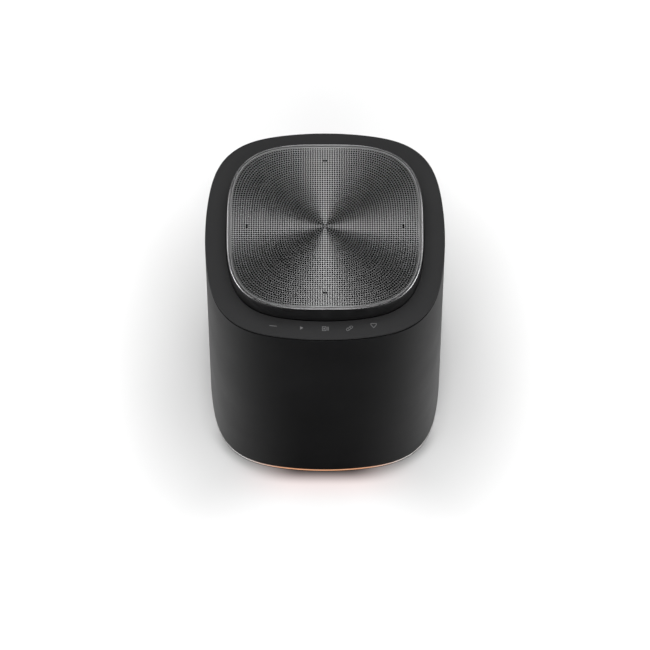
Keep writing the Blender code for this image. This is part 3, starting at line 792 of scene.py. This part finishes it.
# quieter: a short bar that follows the deck's edge
x, y = -27.8, -56.5
stroke([(x - 1.9, y + 0.22), (x, y - 0.02), (x + 1.9, y - 0.22)], 0.34)
# play: a small solid triangle
x, y = -12.6, -57.8
slab([np.array(p) for p in ((x - 0.7, y - 1.0), (x + 1.05, y + 0.15), (x - 0.7, y + 1.0))])
# sound field: a small square with two bars beside it
x, y = 0.3, -58.2
stroke([(x - 1.7, y - 1.2), (x + 0.2, y - 1.2), (x + 0.2, y + 1.2), (x - 1.7, y + 1.2)], LINE, closed=True)
slab([np.array(p) for p in ((x - 1.1, y - 0.55), (x - 0.4, y - 0.55), (x - 0.4, y + 0.55), (x - 1.1, y + 0.55))])
stroke([(x + 0.85, y - 1.2), (x + 0.85, y + 1.2)], LINE)
stroke([(x + 1.5, y - 1.2), (x + 1.5, y + 1.2)], LINE)
# pairing: two tilted rounded links
x, y = 13.1, -58.0
tilt = math.radians(38)


def link_loop(cx, cy):
    pts = arc_points(0.55, 0, 0.72, -90, 90, 7) + arc_points(-0.55, 0, 0.72, 90, 270, 7)
    return [(cx + px * math.cos(tilt) - py * math.sin(tilt), cy + px * math.sin(tilt) + py * math.cos(tilt))
            for px, py in pts]


stroke(link_loop(x - 0.52, y - 0.40), LINE * 0.85, closed=True)
stroke(link_loop(x + 0.52, y + 0.40), LINE * 0.85, closed=True)
# favourite: an outlined, rounded triangle that points down
x, y = 26.0, -56.2
stroke([(x - 1.55, y + 1.0), (x - 0.8, y + 1.3), (x, y + 1.05), (x + 0.8, y + 1.3), (x + 1.55, y + 1.0),
        (x + 1.3, y + 0.1), (x + 0.05, y - 1.45), (x - 1.25, y + 0.1)], LINE, closed=True)
keys = make("touch_key_symbols", key_verts, key_faces, PRINT, smooth=False)
outward(keys)

# ------------------------------------------------------------------ light ring
light = turned("light_ring_diffuser", rounded([
    (light_high[0], 2.2, 0.2), (light_high[0], 1.22), (light_high[0], 0.6, 0.25), (63.6, 0.6), (63.6, 1.6),
    (60.8, 1.6), (60.8, 7.2), (61.9, 7.2), (61.9, 2.2)], 4), SEG, [LIGHT, BASE])
for poly in light.data.polygons:          # a dark lip closes the lit band from below
    if poly.center.z / MM < 1.21:
        poly.material_index = 1
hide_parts("light_ring")

# ------------------------------------------------------------------ base, foot and inlet
b = 63.3
base = turned("base_plate_moulding", rounded([
    (0.0, 5.0), (60.4, 5.0, 0.2), (60.4, 1.3), (b, 1.3, 0.15), (b, 0.5, 0.3), (59.8, 0.5, 0.1), (59.8, 1.5),
    (50.2, 1.5), (50.2, 0.5, 0.15), (39.8, 0.5, 0.2), (39.4, 0.9, 0.2), (38.4, 0.9, 0.2), (38.0, 0.5, 0.2),
    (0.0, 0.5)], 3), 240, BASE, closed=False)
for sx in (1, -1):
    for sy in (1, -1):
        t = np.linspace(0, 2 * np.pi, 40, endpoint=False)
        ring = [(35.5 * sx + 3.8 * math.cos(a), 35.5 * sy + 3.8 * math.sin(a)) for a in t]
        verts = [(px, py, -1.0) for px, py in ring] + [(px, py, 3.5) for px, py in ring]
        faces = [[j, (j + 1) % 40, 40 + (j + 1) % 40, 40 + j] for j in range(40)]
        faces += [list(range(40)), list(range(40, 80))[::-1]]
        carve(base, verts, faces)
        ring = [(35.5 * sx + 1.9 * math.cos(a), 35.5 * sy + 1.9 * math.sin(a)) for a in t]
        verts = [(px, py, 2.0) for px, py in ring] + [(px, py, 6.0) for px, py in ring]
        carve(base, verts, faces)
tidy(base, BASE)
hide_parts("base_plate")

foot = turned("foot_ring_rubber", rounded([
    (59.5, 1.1, 0.05), (59.5, 0.0, 0.35), (50.5, 0.0, 0.35), (50.5, 1.1, 0.05)], 4), 240, RUBBER)
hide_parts("foot_pad")


def turned_y(name, profile, z, mat, segments=64):
    """Carries a profile of (radius, y) round an axis along Y at height z."""
    verts, faces = swept([(r, 0.0) for r, _ in profile], segments, True, False)
    out = []
    for i, v in enumerate(verts):
        out.append((v[0], profile[i // segments][1], z + v[1]))
    obj = make(name, out, faces, mat)
    outward(obj)
    return obj


bezel = turned_y("power_inlet_bezel", rounded([
    (6.7, 58.4), (6.7, 64.8, 0.15), (5.4, 64.8, 0.35), (5.4, 59.9, 0.3), (4.3, 59.9), (4.3, 58.4)], 4),
    JACK_Z, MOULD)
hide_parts("jack_bezel")


def screw_head(name, node, up, radius, height, mat, body=ENCLOSURE):
    """A pan head with a cross recess in place of a CAD screw, shank included."""
    low, high = limits(node)
    cx, cy = (low[0] + high[0]) / 2, (low[1] + high[1]) / 2
    s = 1.0 if up else -1.0
    tip_in = low[2] if up else high[2]            # outer face of the head
    end = high[2] if up else low[2]
    z = lambda d: tip_in + s * d
    prof = rounded([(0.0, z(0)), (radius * 0.6, z(0), 0.8), (radius, z(height * 0.7), 0.7), (radius, z(height)),
                    (1.5, z(height))], 5)
    d = height + 0.5
    length = abs(end - tip_in)
    while d < length - 1.8:                       # thread
        prof += [(1.5, z(d)), (1.22, z(d + 0.28))]
        d += 0.62
    prof += [(1.1, z(length - 1.2)), (0.0, z(length))]
    obj = turned(name, prof, 28, mat, closed=False, square=False, centre=(cx, cy), body=body)
    for turn in (0, 1):
        hx, hy = (radius * 0.5, 0.32) if turn else (0.32, radius * 0.5)
        z0, z1 = sorted((z(-0.5), z(height * 0.62)))
        verts = [(cx + a * hx, cy + b_ * hy, zz) for zz in (z0, z1)
                 for a, b_ in ((-1, -1), (1, -1), (1, 1), (-1, 1))]
        faces = [[0, 1, 2, 3], [7, 6, 5, 4], [0, 4, 5, 1], [1, 5, 6, 2], [2, 6, 7, 3], [3, 7, 4, 0]]
        carve(obj, verts, faces)
    tidy(obj, mat)
    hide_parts(node)
    return obj


for i in range(4):
    screw_head(f"base_screw_{i + 1}_threaded", f"base_screw_{i + 1}", True, 3.3, 1.5, STEEL)

# ------------------------------------------------------------------ stage
FLAG_FRONT, FLAG_SIDE = 0.020, 0.50
CONTACT = (63.5, 74.0, 0.08)      # the soft contact shade round the foot: from, to (mm), darkest
floor_mesh = bpy.data.meshes.new("floor")
bm = bmesh.new()
bmesh.ops.create_grid(bm, x_segments=1, y_segments=1, size=6.0)
bm.to_mesh(floor_mesh)
bm.free()
floor = bpy.data.objects.new("floor", floor_mesh)
bpy.context.scene.collection.objects.link(floor)
fm = Mat("floor_white", (0.82, 0.82, 0.82), 0.7, Specular_IOR_Level=0.0)
fn = fm.noise(3.0, 3.0)
fx, fy, _ = fm.xyz()
# painted shadow in the floor's colour round the foot: a tight contact shadow in front, a thin one at the
# corners, a broad soft shade at the sides and back
ring = fm.math("POWER", fm.math("ADD", fm.math("POWER", fm.math("ABSOLUTE", fx), SQ_N),
                                fm.math("POWER", fm.math("ABSOLUTE", fy), SQ_N)), 1.0 / SQ_N)
turn = fm.math("ABSOLUTE", fm.math("ARCTAN2", fx, fm.math("MULTIPLY", fy, -1.0)))
tight = fm.math("SUBTRACT", 1.0, fm.math("MULTIPLY", fm.span(turn, 0.2, 0.75, 1.0, 0.12),
                fm.span(ring, CONTACT[0] * MM, CONTACT[1] * MM, 1.0 - CONTACT[2], 0.0)))
broad = fm.math("SUBTRACT", 1.0, fm.math("MULTIPLY", fm.span(turn, 0.2, 0.75, 0.0, 1.0),
                fm.span(ring, 0.064, 0.160, 0.27, 0.0)))
corner = fm.math("MULTIPLY", fm.span(turn, 0.3, 0.7, 0.0, 1.0), fm.span(turn, 0.8, 1.1, 1.0, 0.0))
thin = fm.math("SUBTRACT", 1.0, fm.math("MULTIPLY", corner, fm.span(ring, 0.0645, 0.0705, 0.4, 0.0)))
painted_contact_shadow = fm.math("MULTIPLY", fm.math("MULTIPLY", tight, broad), thin)
white = fm.node("ShaderNodeVectorMath", operation="SCALE")
painted_ring_spill = fm.node("ShaderNodeMix", data_type="RGBA", blend_type="MULTIPLY")
fm.link(fm.math("MULTIPLY", fm.span(turn, 0.2, 0.8, 1.0, 0.0), fm.span(ring, 0.064, 0.090, 1.0, 0.0)),
        painted_ring_spill.inputs[0])
fm.link(fm.ramp(fn, (0.3, (0.815, 0.815, 0.815)), (0.7, (0.825, 0.825, 0.825))), painted_ring_spill.inputs[6])
painted_ring_spill.inputs[7].default_value = (1.0, 0.86, 0.85, 1.0)      # the ring's warm spill on the floor
fm.link(painted_ring_spill.outputs[2], white.inputs[0])
# the painted shadow scales the floor's colour
fm.link(painted_contact_shadow, white.inputs["Scale"])
fm.set("Base Color", white.outputs[0])
# gloss sees a dimmer floor, as where black flags stand round a table; it is darkest in front
side = fm.span(turn, 0.15, 1.25, FLAG_FRONT, FLAG_SIDE)
dim = fm.node("ShaderNodeEmission")
dim.inputs["Color"].default_value = (1, 1, 1, 1)
fm.link(side, dim.inputs["Strength"])
path = fm.node("ShaderNodeLightPath")
both = fm.node("ShaderNodeMixShader")
fm.link(path.outputs["Is Glossy Ray"], both.inputs[0])
fm.link(fm.b.outputs[0], both.inputs[1])
fm.link(dim.outputs[0], both.inputs[2])
fm.link(both.outputs[0], fm.t.nodes["Material Output"].inputs["Surface"])
floor.data.materials.append(fm.m)


def area(name, place, target, size, radiance, size_y=None, gloss=True, diffuse=True, along=None):
    """A soft box of the given radiance; along is the direction of its first side."""
    data = bpy.data.lights.new(name, "AREA")
    data.shape = "RECTANGLE"
    data.size = size
    data.size_y = size_y or size
    data.energy = radiance * math.pi * data.size * data.size_y
    obj = bpy.data.objects.new(name, data)
    obj.location = place
    back = (Vector(place) - Vector(target)).normalized()
    first = Vector(along or (1, 0, 0))
    first = (first - back * first.dot(back)).normalized()
    obj.rotation_mode = "QUATERNION"
    obj.rotation_quaternion = Matrix((first, back.cross(first), back)).transposed().to_quaternion()
    obj.visible_glossy = gloss
    obj.visible_diffuse = diffuse
    bpy.context.scene.collection.objects.link(obj)
    return obj


CENTRE = Vector((0, 0, TOP_Z * MM))


def banner(name, direction, along, length, width, radiance, distance=1.8):
    """A long narrow box seen by gloss alone; it draws one pair of the spun metal's bright fans."""
    place = CENTRE + Vector(direction).normalized() * distance
    return area(name, place, CENTRE, length, radiance, size_y=width, diffuse=False, along=along)


area("overhead_fill", (0.0, 0.3, 2.4), (0, 0.3, 0), 3.2, 3.2, gloss=False)
area("front_fill", (0.0, -2.2, 1.6), (0, -0.1, 0), 2.0, 3.4, gloss=False)
area("left_corner_box", (-1.65, -0.06, 0.45), (0, -0.05, 0.16), 0.7, 2.8, size_y=0.95, diffuse=False,
     along=(0, 0, 1))
area("right_corner_box", (1.65, -0.06, 0.45), (0, -0.05, 0.16), 0.7, 2.8, size_y=0.95, diffuse=False,
     along=(0, 0, 1))
lamp = bpy.data.lights.new("front_pool", "SPOT")
lamp.energy = 46.0
lamp.spot_size = math.radians(16)
lamp.spot_blend = 1.0
lamp.shadow_soft_size = 0.15
pool = bpy.data.objects.new("front_pool", lamp)
pool.location = (0.0, -1.6, 1.3)
pool.rotation_mode = "QUATERNION"
pool.rotation_quaternion = (Vector((0.0, -0.15, 0.0)) - pool.location).to_track_quat("-Z", "Y")
pool.visible_glossy = False
bpy.context.scene.collection.objects.link(pool)
area("left_box", (-1.6, -0.05, 0.42), (0, -0.05, 0.16), 0.75, 1.1, size_y=2.4, diffuse=False, along=(0, 0, 1))
area("right_box", (1.6, -0.05, 0.42), (0, -0.05, 0.16), 0.75, 1.1, size_y=2.4, diffuse=False, along=(0, 0, 1))
banner("left_banner", (-0.493, 0.51, 0.704), (0.704, 0, 0.493), 1.3, 0.30, 1.7)
banner("right_banner", (0.493, 0.51, 0.704), (0.704, 0, -0.493), 1.3, 0.30, 1.7)
banner("top_banner", (0.0, -0.075, 0.997), (0, 1, 0), 1.3, 0.26, 1.7)
banner("rear_banner", (0.0, 0.91, 0.41), (0, -0.41, 0.91), 1.3, 0.26, 1.7)

world = bpy.data.worlds.new("studio")
bpy.context.scene.world = world
world.use_nodes = True
world.node_tree.nodes["Background"].inputs["Color"].default_value = (1, 1, 1, 1)
world.node_tree.nodes["Background"].inputs["Strength"].default_value = 0.02
bpy.context.scene.view_settings.view_transform = "Standard"

# ------------------------------------------------------------------ camera
cam_data = bpy.data.cameras.new("camera")
cam_data.lens = 253.60
cam_data.sensor_width = 36.0
cam_data.clip_end = 50.0
cam = bpy.data.objects.new("camera", cam_data)
rise = (DECK_Z - 149.4) * MM
cam.location = (0.0, -1.264414, 2.280691 + rise)
cam.rotation_euler = (math.radians(29.5534), 0.0, 0.0)
bpy.context.scene.collection.objects.link(cam)
bpy.context.scene.camera = cam

bpy.context.view_layer.update()
